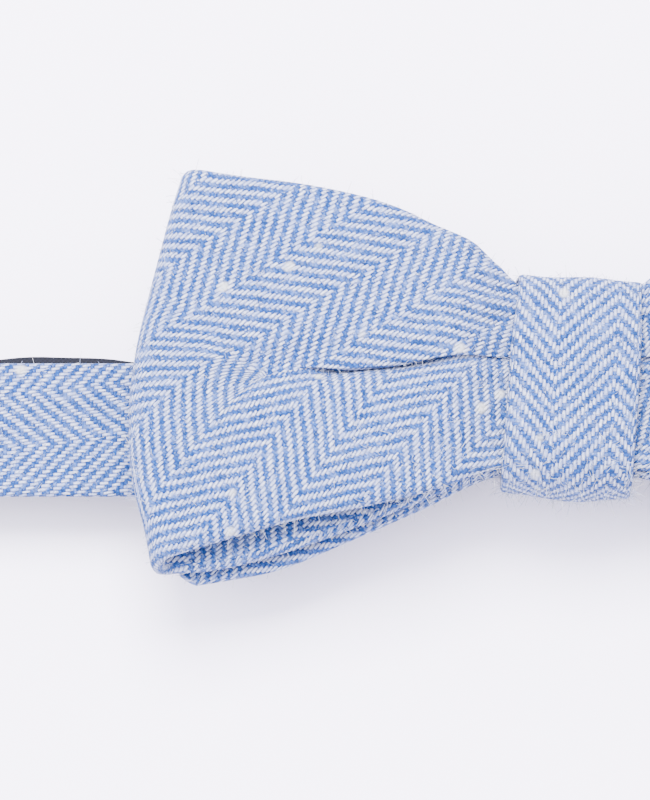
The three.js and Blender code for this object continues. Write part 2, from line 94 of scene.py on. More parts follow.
soft_light("key_light", (-0.1, 0.52, 1.12), 0.7, 60.0, (1.0, 0.985, 0.985))
soft_light("fill_light", (-0.6, 0.1, 1.1), 1.1, 20.0, (0.96, 0.97, 1.0))

world = bpy.data.worlds.new("studio")
world.use_nodes = True
world.node_tree.nodes["Background"].inputs["Color"].default_value = (0.925, 0.90, 1.0, 1)
world.node_tree.nodes["Background"].inputs["Strength"].default_value = 4.3
bpy.context.scene.world = world

bpy.ops.mesh.primitive_plane_add(size=8, location=(0, 0, -0.0002))
table = bpy.context.object
table.name = "table"
table_paint = bpy.data.materials.new("table_paint")
table_paint.use_nodes = True
table_shader = table_paint.node_tree.nodes["Principled BSDF"]
table_shader.inputs["Base Color"].default_value = (0.90, 0.86, 1.0, 1)
table_shader.inputs["Roughness"].default_value = 0.8
table_shader.inputs["Specular IOR Level"].default_value = 0.2
table.data.materials.append(table_paint)

# ---------------------------------------------------------------------------
# Herringbone wool: a two-up two-down twill of off-white warp over blue weft,
# its slant turning round every sixteen ends. Every woven piece is cut from it.


class Num:
    """A number in a material's node tree. Operators add Math nodes."""

    def __init__(self, sheet, socket):
        self.sheet = sheet
        self.socket = socket

    def math(self, operation, *others):
        node = self.sheet.node("ShaderNodeMath", {"operation": operation}, dict(enumerate([self, *others])))
        return Num(self.sheet, node.outputs[0])

    def __add__(self, other):
        return self.math("ADD", other)

    def __sub__(self, other):
        return self.math("SUBTRACT", other)

    def __mul__(self, other):
        return self.math("MULTIPLY", other)

    def __mod__(self, other):
        return self.math("FLOORED_MODULO", other)

    def __rsub__(self, other):
        return (self * -1.0) + other

    def clamp(self, low, high):
        return self.math("MAXIMUM", low).math("MINIMUM", high)

    __radd__ = __add__
    __rmul__ = __mul__


class Finish:
    """A material built node by node round its one Principled shader."""

    def __init__(self, name):
        self.material = bpy.data.materials.new(name)
        self.material.use_nodes = True
        self.tree = self.material.node_tree
        self.shader = self.tree.nodes["Principled BSDF"]

    def node(self, kind, settings=None, sockets=None):
        made = self.tree.nodes.new(kind)
        for key, value in (settings or {}).items():
            setattr(made, key, value)
        for key, value in (sockets or {}).items():
            self.feed(made.inputs[key], value)
        return made

    def feed(self, socket, value):
        if isinstance(value, Num):
            value = value.socket
        if isinstance(value, bpy.types.NodeSocket):
            self.tree.links.new(value, socket)
        else:
            socket.default_value = value

    def mix(self, share, first, second):
        node = self.node("ShaderNodeMix", {"data_type": "RGBA"}, {0: share, 6: first, 7: second})
        return node.outputs[2]

    def noise(self, vector, scale, detail=2.0, roughness=0.5):
        sockets = {"Vector": vector, "Scale": scale, "Detail": detail, "Roughness": roughness}
        return Num(self, self.node("ShaderNodeTexNoise", None, sockets).outputs[0])

    def ramp(self, value, low, high, shape="LINEAR"):
        sockets = {"Value": value, "From Min": low, "From Max": high}
        return Num(self, self.node("ShaderNodeMapRange", {"interpolation_type": shape}, sockets).outputs[0])

    def vector(self, x, y, z=0.0):
        return self.node("ShaderNodeCombineXYZ", None, {0: x, 1: y, 2: z}).outputs[0]

    def set(self, **sockets):
        for key, value in sockets.items():
            self.feed(self.shader.inputs[key.replace("_", " ")], value)


def herringbone_wool():
    end_pitch = 0.499
    pick_pitch = 0.54
    ends_per_column = 16
    off_white = (0.57, 0.585, 0.64, 1)
    white_shade = (0.17, 0.22, 0.43, 1)
    mid_blue = (0.005, 0.046, 0.20, 1)
    deep_blue = (0.002, 0.017, 0.070, 1)
    light_blue = (0.050, 0.125, 0.40, 1)
    # Painted shade: the two gap colours darken the yarns where they sink low between one another
    white_gap_painted_shade = (0.16, 0.19, 0.37, 1)
    blue_gap_painted_shade = (0.003, 0.020, 0.11, 1)
    slub_white = (0.54, 0.54, 0.54, 1)
    haze_blue = (0.165, 0.235, 0.48, 1)

    cloth = Finish("herringbone_wool")
    uv = cloth.node("ShaderNodeUVMap", {"uv_map": "cloth"}).outputs[0]
    split = cloth.node("ShaderNodeSeparateXYZ", None, {0: uv})
    along = Num(cloth, split.outputs[0])
    across = Num(cloth, split.outputs[1])

    # Picks and ends both wander a little, as the cloth has been pulled about
    pick_wander = cloth.noise(uv, 0.22, 2.0)
    end_wander = cloth.noise(cloth.vector(along, across, 7.0), 0.3, 2.0)
    pick = along * (1 / pick_pitch) + (pick_wander - 0.5) * 1.3
    ends_across = across * (1 / end_pitch) + (end_wander - 0.5) * 1.2
    end = ends_across.math("PINGPONG", float(ends_per_column))
    end_number = (end + 0.5).math("FLOOR")
    end_index = (ends_across + 0.5).math("FLOOR")
    float_index = ((pick + end_number) * 0.25).math("FLOOR")

    # Each yarn is on top for two crossings in four. A place runs from 0 to 4 along it, and a warp float's
    # middle is at 1, a weft float's at 3.
    warp_place = (pick + end_number) % 4.0
    weft_place = (pick.math("FLOOR") + end + 0.5) % 4.0
    across_end = (end - end_number).math("ABSOLUTE") * 2.0
    across_pick = ((pick - pick.math("FLOOR")) - 0.5).math("ABSOLUTE") * 2.0
    warp_along = (warp_place - 1.0).math("ABSOLUTE")
    weft_along = (weft_place - 3.0).math("ABSOLUTE")
    warp_height = 1.0 - warp_along * warp_along * 0.62 - across_end * across_end * 1.25
    weft_height = 0.9 - weft_along * weft_along * 0.62 - across_pick * across_pick * 0.6

    # Fibres blur the edge between the two yarns, and no two floats are quite alike
    strands = cloth.noise(cloth.vector(along * 0.8, across * 1.9, 2.0), 1.9, 3.0, 0.75)
    fray = cloth.noise(cloth.vector(along, across, 5.0), 3.0, 3.0, 0.75)
    odd_sockets = {"Vector": cloth.vector(end_index, float_index)}
    odd_float = cloth.node("ShaderNodeTexWhiteNoise", {"noise_dimensions": "2D"}, odd_sockets)
    odd = Num(cloth, odd_float.outputs[0])
    patch = cloth.noise(cloth.vector(along * 0.8, across, 11.0), 0.75, 2.0, 0.6)
    lead = (warp_height - weft_height).clamp(-0.85, 0.85)
    lead = lead + (strands - 0.5) * 4.6 + (fray - 0.5) * 4.2 + (odd - 0.5) * 0.45 + (patch - 0.5) * 1.6
    warp_share = cloth.ramp(lead, -0.42, 0.62, "SMOOTHSTEP")
    height = warp_height.math("MAXIMUM", weft_height)

    # Each yarn varies along its length, as dyed wool does
    weft_yarn = cloth.noise(cloth.vector(across * 0.55, pick.math("FLOOR") * 1.7), 1.0, 3.0, 0.7)
    heather = cloth.noise(cloth.vector(along, across, 3.0), 2.0, 3.0, 0.8)
    streak = cloth.noise(cloth.vector(along * 0.55, across * 2.4, 1.0), 2.6, 3.0, 0.7)
    white = cloth.mix(((streak - 0.40) * 4.2 + odd * 0.3).clamp(0.0, 1.0), off_white, white_shade)
    blue_low = cloth.mix(((weft_yarn - 0.34) * 3.2).clamp(0.0, 1.0), deep_blue, mid_blue)
    blue = cloth.mix(((heather - 0.45) * 4.0).clamp(0.0, 0.9), blue_low, light_blue)
    yarns = cloth.mix(warp_share, blue, white)
    # Painted shade: where the yarns lie low between one another, their colour darkens towards the gap colours
    painted_gap_shade = cloth.mix(warp_share, blue_gap_painted_shade, white_gap_painted_shade)
    depth = height + (strands - 0.5) * 1.2 + (fray - 0.5) * 1.2
    shaded = cloth.mix(cloth.ramp(depth, 0.0, 0.8), painted_gap_shade, yarns)

    # A few thick off-white slubs, a little over a millimetre long
    slub_sockets = {"Vector": cloth.vector(along, across * 1.15), "Scale": 0.11}
    slub_cells = cloth.node("ShaderNodeTexVoronoi", None, slub_sockets)
    slub = cloth.ramp(slub_cells.outputs["Distance"], 0.12, 0.05, "SMOOTHSTEP")
    slubbed = cloth.mix(slub * 0.75, shaded, slub_white)

    # A thin haze of pale fibres lies over the cloth in patches
    haze = cloth.noise(cloth.vector(along, across * 0.8, 13.0), 1.1, 4.0, 0.75)
    colour = cloth.mix(((haze - 0.50) * 2.8).clamp(0.0, 0.5), slubbed, haze_blue)

    fuzz = cloth.noise(cloth.vector(along, across, 9.0), 9.0, 3.0, 0.8)
    relief = height * 0.8 + fuzz * 0.35 + strands * 0.3 + slub * 0.5
    bump = cloth.node("ShaderNodeBump", None, {"Strength": 0.9, "Distance": 0.00022, "Height": relief})
    cloth.set(Base_Color=colour, Roughness=0.95, Normal=bump.outputs[0])
    cloth.set(Specular_IOR_Level=0.08, Sheen_Weight=0.12, Sheen_Roughness=0.5, Sheen_Tint=(0.8, 0.87, 1.0, 1))
    return cloth.material


wool = herringbone_wool()

# ---------------------------------------------------------------------------
# Neckband, front run: a strip of the wool turned in at both edges over a core,
# passed through the knot behind the bow, with a dark lining on its back.

edge_steps = 3


def unit(vectors):
    return vectors / np.maximum(np.linalg.norm(vectors, axis=-1, keepdims=True), 1e-12)


def ease(value, low, high):
    share = np.clip((np.asarray(value, float) - low) / (high - low), 0, 1)
    return share * share * (3 - 2 * share)


def curve(at, knots, values):
    """A smooth line through a few given heights."""
    at = np.asarray(at, float)
    knots = np.asarray(knots, float)
    values = np.asarray(values, float)
    slopes = np.gradient(values, knots)
    k = np.clip(np.searchsorted(knots, at) - 1, 0, len(knots) - 2)
    span = knots[k + 1] - knots[k]
    t = np.clip((at - knots[k]) / span, 0, 1)
    rise = values[k] * (1 + 2 * t) * (1 - t) ** 2 + values[k + 1] * t * t * (3 - 2 * t)
    return rise + span * (slopes[k] * t * (1 - t) ** 2 - slopes[k + 1] * t * t * (1 - t))


def both_faces(middle, thickness, ring=False):
    """The upper and under faces of a sheet, from its middle points (stations by rows) and its thickness."""
    middle = np.asarray(middle, float)
    if ring:
        step_along = np.roll(middle, -1, 0) - np.roll(middle, 1, 0)
    else:
        step_along = np.gradient(middle, axis=0)
    normal = unit(np.cross(step_along, np.gradient(middle, axis=1)))
    half = np.broadcast_to(np.asarray(thickness, float) / 2, middle.shape[:2])[..., None]
    return middle + normal * half, middle - normal * half


def sewn_piece(name, faces, cloth, material, ring=False, under_material=None, under_cloth=None):
    """A closed, flat sewn tube between two faces with rounded edges. Each face is stations by rows of points,
    in millimetres, and cloth gives each point its place on the flat cloth."""
    top_face, under_face = faces
    cloth = np.asarray(cloth, float)
    stations, rows = top_face.shape[:2]
    centre = (top_face + under_face) / 2
    radius = (top_face - under_face) / 2
    turns = [math.pi * (k + 1) / (edge_steps + 1) for k in range(edge_steps)]

    def edge(j, inner, order):
        outward = unit(centre[:, j] - centre[:, inner])
        reach = np.linalg.norm(radius[:, j], axis=-1, keepdims=True)
        return [centre[:, j] + radius[:, j] * math.cos(t) + outward * reach * math.sin(t) for t in order]

    columns = [top_face[:, j] for j in range(rows)]
    columns += edge(rows - 1, rows - 2, turns)
    columns += [under_face[:, j] for j in reversed(range(rows))]
    columns += edge(0, 1, turns[::-1])
    points = np.stack(columns, 1)
    count = points.shape[1]

    # Places on the cloth: the upper face, each edge turning away from it, and the under face
    thickness = 2 * np.linalg.norm(radius[:, [0, -1]], axis=-1).mean()
    arc = math.pi * thickness / 2 * np.arange(1, edge_steps + 2)[:, None, None] / (edge_steps + 1)
    over_top = cloth[:, -1] + arc * unit(cloth[:, -1] - cloth[:, -2])
    over_foot = cloth[:, 0] + arc * unit(cloth[:, 0] - cloth[:, 1])
    under_cloth = cloth if under_cloth is None else under_cloth
    under_place = np.swapaxes(under_cloth, 0, 1)[::-1] + np.array([3.1, 1.7])
    top_place = np.concatenate([np.swapaxes(cloth, 0, 1), over_top])
    foot_place = np.concatenate([over_foot[::-1], cloth[:, 0][None]])
    under_from = rows + edge_steps
    foot_from = under_from + rows - 1
    section_rows = [*range(rows), *[0] * edge_steps, *reversed(range(rows)), *[0] * edge_steps]

    corners = []
    places = []
    slots = []
    for i in range(stations if ring else stations - 1):
        n = (i + 1) % stations
        for k in range(count):
            m = (k + 1) % count
            corners.append((i * count + k, n * count + k, n * count + m, i * count + m))
            slots.append(1 if under_material and under_from <= k < foot_from else 0)
            if k < under_from:
                source, low = top_place, k
            elif k < foot_from:
                source, low = under_place, k - under_from
            else:
                source, low = foot_place, k - foot_from
            places.append((source[low, i], source[low, n], source[low + 1, n], source[low + 1, i]))
    if not ring:
        for i, flip in ((0, False), (stations - 1, True)):
            caps = [[j, j + 1, under_from + rows - 2 - j, under_from + rows - 1 - j] for j in range(rows - 1)]
            caps.append(list(range(rows - 1, under_from + 1)))
            caps.append(list(range(foot_from, count)) + [0])
            for cap in caps:
                order = cap[::-1] if flip else cap
                corners.append(tuple(i * count + c for c in order))
                places.append(tuple(cloth[i, section_rows[c]] + points[i, c, 1:] * 0.5 for c in order))
                slots.append(0)
    mesh = bpy.data.meshes.new(name)
    mesh.from_pydata([tuple(v) for v in points.reshape(-1, 3) * MM], [], corners)
    layer = mesh.uv_layers.new(name="cloth")
    layer.data.foreach_set("uv", np.array([c for place in places for c in place], np.float32).ravel())
    mesh.materials.append(material)
    if under_material:
        mesh.materials.append(under_material)
    mesh.polygons.foreach_set("material_index", slots)
    mesh.polygons.foreach_set("use_smooth", [True] * len(mesh.polygons))
    mesh.set_sharp_from_angle(angle=math.radians(62))
    mesh.update()
    piece = bpy.data.objects.new(name, mesh)
    bpy.context.scene.collection.objects.link(piece)
    return piece


def belongs(piece, body, nodes):
    """The piece rides on one body. Given two bodies and a joint's ends instead, its transform is only baked
    into its mesh and it stays unattached.
    """
    if isinstance(body, str):
        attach(piece, body)
    else:
        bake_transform(piece)
    if nodes:
        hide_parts(*nodes)


def plain_cloth(name, base, shade, pitch, roughness=0.9):
    """A fine plain weave in one colour, with painted shade in the weave's hollows and a random grain."""
    finish = Finish(name)
    uv = finish.node("ShaderNodeUVMap", {"uv_map": "cloth"}).outputs[0]
    split = finish.node("ShaderNodeSeparateXYZ", None, {0: uv})
    u = Num(finish, split.outputs[0]) * (math.pi / pitch)
    v = Num(finish, split.outputs[1]) * (math.pi / pitch)
    weave = (u.math("SINE") * v.math("SINE")) * 0.5 + 0.5
    grain = finish.noise(uv, 1.6, 3.0, 0.7)
    # Painted shade: the colour goes towards the shade colour where the weave's relief is low, and the random
    # grain varies it too
    colour = finish.mix((weave * 0.5 + grain * 0.6).math("MINIMUM", 1.0), shade, base)
    bump = finish.node("ShaderNodeBump", None, {"Strength": 0.6, "Distance": 0.0001, "Height": weave + grain})
    finish.set(Base_Color=colour, Roughness=roughness, Normal=bump.outputs[0], Specular_IOR_Level=0.2)
    return finish.material


# The second colour of each plain cloth is the painted shade in its weave's hollows
lining_cloth = plain_cloth("lining_cloth", (0.006, 0.0075, 0.016, 1), (0.0015, 0.002, 0.0045, 1), 0.32, 0.8)
core_cloth = plain_cloth("core_cloth", (0.80, 0.78, 0.72, 1), (0.62, 0.60, 0.54, 1), 0.5)

band_half = 9.72
wool_ply = 1.32
core_ply = 0.4
lining_ply = 0.3
band_thickness = 1.9
band_spine = 14.18
knot_drop = 2.4
end_drop = 5.15
fold_seam = 103.85


def run_faces(x, y, z, half_width, thickness, cover_up):
    """A straight strip along X: its middle line's y and z at each x."""
    row = np.linspace(-1, 1, 15) * (half_width - thickness / 2)
    across = row if cover_up else -row
    wide_x = np.repeat(x[:, None], row.size, 1)
    middle = np.stack([wide_x, y[:, None] + across[None, :], z[:, None] + 0 * wide_x], -1)
    return both_faces(middle, thickness), np.stack([wide_x, 0 * wide_x + across], -1)


def band_run(prefix, body, ends, middle_y, low, cover_up, spine, place=None):
    """The three layers of one run of the band, whose underside lies at the height low."""
    x = np.linspace(ends[0], ends[1], max(8, int(abs(ends[1] - ends[0]) / 1.6)))
    lining_hem = 0.8 if cover_up else 0.15
    lining_depth = band_thickness - lining_ply / 2
    layers = (
        ("cover", 0.0, wool_ply, wool_ply / 2, wool, "herringbone"),
        ("interlining", 0.9, core_ply, wool_ply / 2 + 0.15, core_cloth, "stiffener"),
        ("lining", lining_hem, lining_ply, lining_depth, lining_cloth, "lining"),
    )
    for layer, hem, ply, depth, material, slot in layers:
        height = band_thickness - depth if cover_up else depth
        faces, cloth = run_faces(x, middle_y(x), low + height + 0 * x, band_half - hem, ply, cover_up)
        if place:
            faces = tuple(place(face) for face in faces)
        if cover_up:
            # Beside the left wing the strip lies about seven degrees off the grain
            off_grain = 0.12 * (x + 68) * ease(x, -102, -80) * (1 - ease(x, -56, -30))
            cloth = cloth - np.stack([0 * off_grain, off_grain], -1)[:, None]
        piece = sewn_piece(f"{prefix}_{layer}_cloth", faces, cloth - np.array([0, spine]), material)
        belongs(piece, body, [f"{prefix}_{layer}"])


def front_run_y(x):
    return -(knot_drop + (end_drop - knot_drop) * ease(np.abs(x), 15, 55))


band_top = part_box("band_cover")[1][2] / MM
front_run_low = band_top - band_thickness
band_run("band", "bow", (-fold_seam, fold_seam), front_run_y, front_run_low, True, band_spine)

# ---------------------------------------------------------------------------
# Neckband, back runs: the same band, doubled back under the front run with its
# lining up. The left run lies bowed, the right one straight and at a slant.

left_low = 0.0
right_low = 1.2
fold_reach = 104.0
right_slant = math.radians(4.5)


def left_run_y(x):
    """The left run bows up past the front run's edge, and rises further behind the bow."""
    bow = 3.0 * np.exp(-(((x + 75) / 17) ** 2)) + 0.3 * np.exp(-(((x + 74) / 7) ** 2))
    rise = 0.9 * ease(x, -73, -63) + 6.6 * ease(x, -62, -22)
    return 0.4 + bow + rise - end_drop


def slanted(points):
    """Places points given in the right run's own frame, whose x = 0 is the middle of the end fold."""
    turned = points.copy()
    cosine = math.cos(right_slant)
    sine = math.sin(right_slant)
    turned[..., 0] = points[..., 0] * cosine + points[..., 1] * sine + fold_reach
    turned[..., 1] = points[..., 1] * cosine - points[..., 0] * sine - end_drop
    return turned


def right_run_y(x):
    return 0 * x


band_run("left_tail", "left_tail", (-21.0, -fold_seam), left_run_y, left_low, False, 2.0)
right_ends = (-50.5, fold_seam - fold_reach)
band_run("right_tail", "right_tail", right_ends, right_run_y, right_low, False, -2.4, slanted)

# ---------------------------------------------------------------------------
# Neckband, end folds: the band's half turn at each end, wool outside and lining
# inside.


def end_fold(name, side, low, shift, slant):
    """One half turn round the Y axis. shift and slant carry its lower end to where the back run starts."""
    outer = (band_top - low) / 2
    half = band_thickness / 2
    turn = np.linspace(0, math.pi, 19)[:, None]
    row = np.linspace(-1, 1, 15)[None, :] * (band_half - half) * side
    share = (1 - np.cos(turn)) / 2
    out = np.sin(turn) * (outer - half)
    slid = slant * share
    x = side * (fold_seam + out) + row * np.sin(slid)
    y = row * np.cos(slid) - end_drop + shift * share - out * np.sin(slid) * side
    z = low + outer + np.cos(turn) * (outer - half) + 0 * row
    middle = np.stack([x + 0 * row, y, z], -1)
    around = side * (fold_seam + turn * (outer - half)) + 0 * row
    cloth = np.stack([around, row * side - band_spine + 0 * turn], -1)
    return sewn_piece(name, both_faces(middle, band_thickness), cloth, wool, under_material=lining_cloth)


left_shift = float(left_run_y(-fold_reach)) + end_drop
folds = (("left", -1, left_low, left_shift, 0.0), ("right", 1, right_low, 0.0, right_slant))
for hand, side, low, shift, slant in folds:
    fold = end_fold(f"{hand}_fold_cloth", side, low, shift, slant)
    start = (side * fold_reach, -end_drop, band_top)
    end = (side * fold_reach, -end_drop, low)
    belongs(fold, ("bow", f"{hand}_tail", start, end), [f"{hand}_fold"])

# ---------------------------------------------------------------------------
# Band ends: each end turned back round its bar, pressed thin and sewn down, with
# the leg that feeds the adjuster.

eye_bar = (-12.0, 1.7)
hook_bar = 15.5 - fold_reach
slider_bar = 28.0 - fold_reach
bar_radius = 0.9
end_loop_ply = 0.8


def strip_faces(path, ply, half_width=band_half - 0.4, middle_y=0.0):
    """A strip with straight sides that follows a path of (x, z) points."""
    path = np.asarray(path, float)
    row = np.linspace(-1, 1, 13)
    forward = 1 if path[-1, 0] >= path[0, 0] else -1
    thick = np.broadcast_to(np.asarray(ply, float), (len(path),))[:, None]
    wide = np.ones((len(path), 1)) * row[None, :] * (half_width - 0.4) * forward
    middle = np.stack([path[:, :1] + 0 * wide, middle_y + wide, path[:, 1:] + 0 * wide], -1)
    length = np.concatenate([[0], np.cumsum(np.linalg.norm(np.diff(path, axis=0), axis=1))])
    cloth = np.stack([length[:, None] + 0 * wide, wide * forward - band_spine], -1)
    return both_faces(middle, thick), cloth


def arc_points(x, z, radius, first, last, count=11):
    turns = np.radians(np.linspace(first, last, count))
    return [(x + radius * math.cos(t), z + radius * math.sin(t)) for t in turns]


def leg_points(start, end, count=5):
    return [tuple(p) for p in np.linspace(start, end, count)]


loop_radius = bar_radius + end_loop_ply / 2
end_y = float(left_run_y(-21.0))
path = leg_points((eye_bar[0] - 8.7, 0.95), (eye_bar[0] - 2.5, 0.45), 6)
path += arc_points(eye_bar[0], eye_bar[1], loop_radius, -90, 90)
path += leg_points((eye_bar[0] - 2.4, 2.86), (eye_bar[0] - 8.3, 2.5), 6)
ply = np.full(len(path), end_loop_ply)
ply[:5] = np.linspace(1.9, 1.0, 5)
ply[-3:] = (0.75, 0.6, 0.45)
faces, cloth = strip_faces(path, ply, middle_y=end_y)
belongs(sewn_piece("left_end_loop_cloth", faces, cloth, wool), "left_tail", ["left_end_loop"])

path = leg_points((-50.8, right_low + 0.95), (hook_bar + 3.3, right_low + 0.95), 24)
faces, cloth = strip_faces(path, 1.9)
feed = sewn_piece("feed_leg_cloth", tuple(slanted(face) for face in faces), cloth, wool)
feed_start = slanted(np.array([-51.0, 0.0, 2.0]))
feed_end = slanted(np.array([hook_bar + 3.5, 0.0, 2.0]))
belongs(feed, ("right_tail", "hook_carrier", feed_start, feed_end), ["feed_leg"])

path = leg_points((hook_bar + 3.0, 2.15), (hook_bar + 0.6, 2.15), 3)
path += [(x, z) for x, z in arc_points(hook_bar, 3.825, 1.675, -90, -270, 13)]
path += leg_points((hook_bar + 0.6, 5.5), (hook_bar + 3.0, 5.5), 3)
faces, cloth = strip_faces(path[::-1], np.linspace(1.2, 1.8, len(path)), band_half - 0.9)
faces = faces[::-1] if faces[0][0, 0, 2] < faces[1][0, 0, 2] else faces
loop = sewn_piece("hook_loop_cloth", tuple(slanted(face) for face in faces), cloth, wool)
belongs(loop, "hook_carrier", ["hook_loop"])

faces, cloth = strip_faces(leg_points((hook_bar + 3.3, 5.5), (slider_bar - 5.8, 5.5), 8), 1.2)
back = sewn_piece("return_leg_cloth", tuple(slanted(face) for face in faces), cloth, wool)
back_start = slanted(np.array([hook_bar + 3.3, 0.0, 5.5]))
back_end = slanted(np.array([slider_bar - 5.8, 0.0, 5.5]))
belongs(back, ("hook_carrier", "slider", back_start, back_end), ["return_leg"])

path = leg_points((slider_bar - 5.5, 5.5), (slider_bar - 2.0, 6.36), 5)
path += arc_points(slider_bar, 5.1, loop_radius, 95, -90, 15)
path += leg_points((slider_bar - 1.4, 3.82), (slider_bar - 3.4, 4.25), 4)
ply = np.full(len(path), end_loop_ply)
ply[:3] = (1.2, 1.05, 0.9)
faces, cloth = strip_faces(path, ply)
loop = sewn_piece("slider_end_loop_cloth", tuple(slanted(face) for face in faces), cloth, wool)
belongs(loop, "slider", ["slider_end_loop"])

# ---------------------------------------------------------------------------
# Bar tacks: rows of close stitches in pale blue thread, at the band's two sewn
# ends. The knot is gathered and sewn with the same thread.


def thread_finish():
    finish = Finish("sewing_thread")
    place = finish.node("ShaderNodeTexCoord").outputs["Object"]
    twist = finish.node("ShaderNodeTexWave", None, {"Vector": place, "Scale": 900.0, "Distortion": 1.5})
    strands = Num(finish, twist.outputs[1])
    # Painted shade: the thread is darker in the grooves of its twist and lighter on its crests
    colour = finish.mix(strands, (0.20, 0.38, 0.70, 1), (0.33, 0.52, 0.82, 1))
    bump = finish.node("ShaderNodeBump", None, {"Strength": 0.5, "Distance": 0.00005, "Height": strands})
    finish.set(Base_Color=colour, Roughness=0.6, Normal=bump.outputs[0])
    return finish.material


thread = thread_finish()


def tubes(name, paths, radius, sides, material):
    """Thin round threads or fibres along given paths of points, in millimetres, closed at both ends."""
    vertices = []
    corners = []
    for path in paths:
        path = np.asarray(path, float)
        ahead = unit(np.gradient(path, axis=0))
        helper = np.where(np.abs(ahead[:, 2:]) < 0.9, np.array([[0, 0, 1.0]]), np.array([[1.0, 0, 0]]))
        first = unit(np.cross(ahead, helper))
        second = np.cross(ahead, first)
        base = len(vertices)
        for point, a, b in zip(path, first, second):
            for k in range(sides):
                t = 2 * math.pi * k / sides
                vertices.append(tuple((point + (a * math.cos(t) + b * math.sin(t)) * radius) * MM))
        for i in range(len(path) - 1):
            for k in range(sides):
                m = (k + 1) % sides
                low, high = base + i * sides, base + (i + 1) * sides
                corners.append((low + k, low + m, high + m, high + k))
        corners.append(tuple(base + k for k in reversed(range(sides))))
        corners.append(tuple(base + (len(path) - 1) * sides + k for k in range(sides)))
    mesh = bpy.data.meshes.new(name)
    mesh.from_pydata(vertices, [], corners)
    mesh.polygons.foreach_set("use_smooth", [True] * len(mesh.polygons))
    mesh.materials.append(material)
    mesh.update()
    piece = bpy.data.objects.new(name, mesh)
    bpy.context.scene.collection.objects.link(piece)
    return piece


def stitch_row(centre, length, bite, count, rise=0.12):
    """Short stitches side by side along Y, each a low arch over the cloth along X."""
    rows = []
    for y in np.linspace(-length / 2, length / 2, count):
        t = np.linspace(-1, 1, 7)
        arch = (1 - t * t) * rise
        rows.append(np.stack([centre[0] + t * bite / 2, centre[1] + y + 0.25 * t, centre[2] + arch], -1))
    return rows


left_tack = tubes("left_bar_tack_thread", stitch_row((-20.25, end_y, 2.2), 12.0, 0.95, 22), 0.13, 6, thread)
belongs(left_tack, "left_tail", ["left_bar_tack"])
slider_rows = [slanted(row) for row in stitch_row((slider_bar - 2.1, 0.0, 6.85), 12.0, 0.9, 22)]
slider_tack = tubes("slider_bar_tack_thread", slider_rows, 0.13, 6, thread)
belongs(slider_tack, "slider", ["slider_bar_tack"])

# ---------------------------------------------------------------------------
# Clasp and adjuster: nickel-plated steel, softly rubbed. The eye, the hook and
# the slider keep their exact shapes, with their edges eased.


def plated_steel():
    finish = Finish("plated_steel")
    place = finish.node("ShaderNodeTexCoord").outputs["Object"]
    grain = finish.noise(place, 700.0, 3.0, 0.6)
    rub = finish.noise(place, 120.0, 2.0, 0.5)
    colour = finish.mix(rub, (0.52, 0.53, 0.55, 1), (0.70, 0.70, 0.71, 1))
    bump = finish.node("ShaderNodeBump", None, {"Strength": 0.25, "Distance": 0.00003, "Height": grain})
    finish.set(Base_Color=colour, Roughness=rub * 0.18 + 0.2, Normal=bump.outputs[0], Metallic=1.0)
    return finish.material


steel = plated_steel()
for name in ("eye_ring", "clasp_hook", "slider_frame"):
    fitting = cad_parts[name]
    fitting.data.materials.clear()
    fitting.data.materials.append(steel)
    eased = fitting.modifiers.new("eased_edges", "BEVEL")
    eased.width = 0.12 * MM
    eased.segments = 2
    eased.limit_method = "ANGLE"
    eased.angle_limit = math.radians(40)

# ---------------------------------------------------------------------------
# Rear strip: a flat sewn strip behind the bow, pinched at the knot. It shows
# below the front loop's edge and at the back.

flare_start = 9.3
wing_reach = 54.0
pinch_half = 12.8
knot_lean = 0.08
rear_reach = 57.2


def wing_top(a):
    """The height of the bow's upper edge at a distance a from the knot's middle."""
    distances = (0, 6, 9.5, 11.6, 14.4, 17.7, 25.8, 36.6, 46.9, 54, 60)
    heights = (pinch_half, pinch_half, 14.2, 16.2, 18.5, 20.0, 23.9, 27.0, 28.9, 30.3, 31.2)
    return curve(a, distances, heights)


def end_outline(y):
    """How far out the wing's folded end reaches at each height."""
    heights = (-29, -25, -20, -16, -6, 5, 13, 21, 30.6)
    reaches = (57.6, 58.2, 59.0, 60.0, 61.2, 60.3, 58.5, 56.5, 54.1)
    return curve(y, heights, reaches)


def leaned(points):
    """The knot leans, and everything near it with it."""
    moved = points.copy()
    fade = 1 - ease(np.abs(points[..., 0]), flare_start, wing_reach)
    moved[..., 0] += knot_lean * points[..., 1] * fade
    return moved


def bias_cloth(x, y, side, turn, unrolled=None):
    """Places on cloth cut at forty-five degrees, turned by some angle about a point near the wing's end."""
    along = (x if unrolled is None else unrolled) - side * turn_point[0]
    up = y - turn_point[1]
    spine = math.radians(45) + np.asarray(turn, float)
    u = along * np.cos(spine) + up * np.sin(spine)
    v = -along * np.sin(spine) + up * np.cos(spine)
    return np.stack([u, v + cloth_offset], -1)


turn_point = (58.0, -5.0)
cloth_offset = 0.3


def rear_bottom(a):
    distances = (0, 9.3, 20, 31, 41, 48.5, 54, 58)
    return -curve(a, distances, (12.6, 12.7, 17.6, 22.4, 26.4, 28.0, 28.8, 28.6))


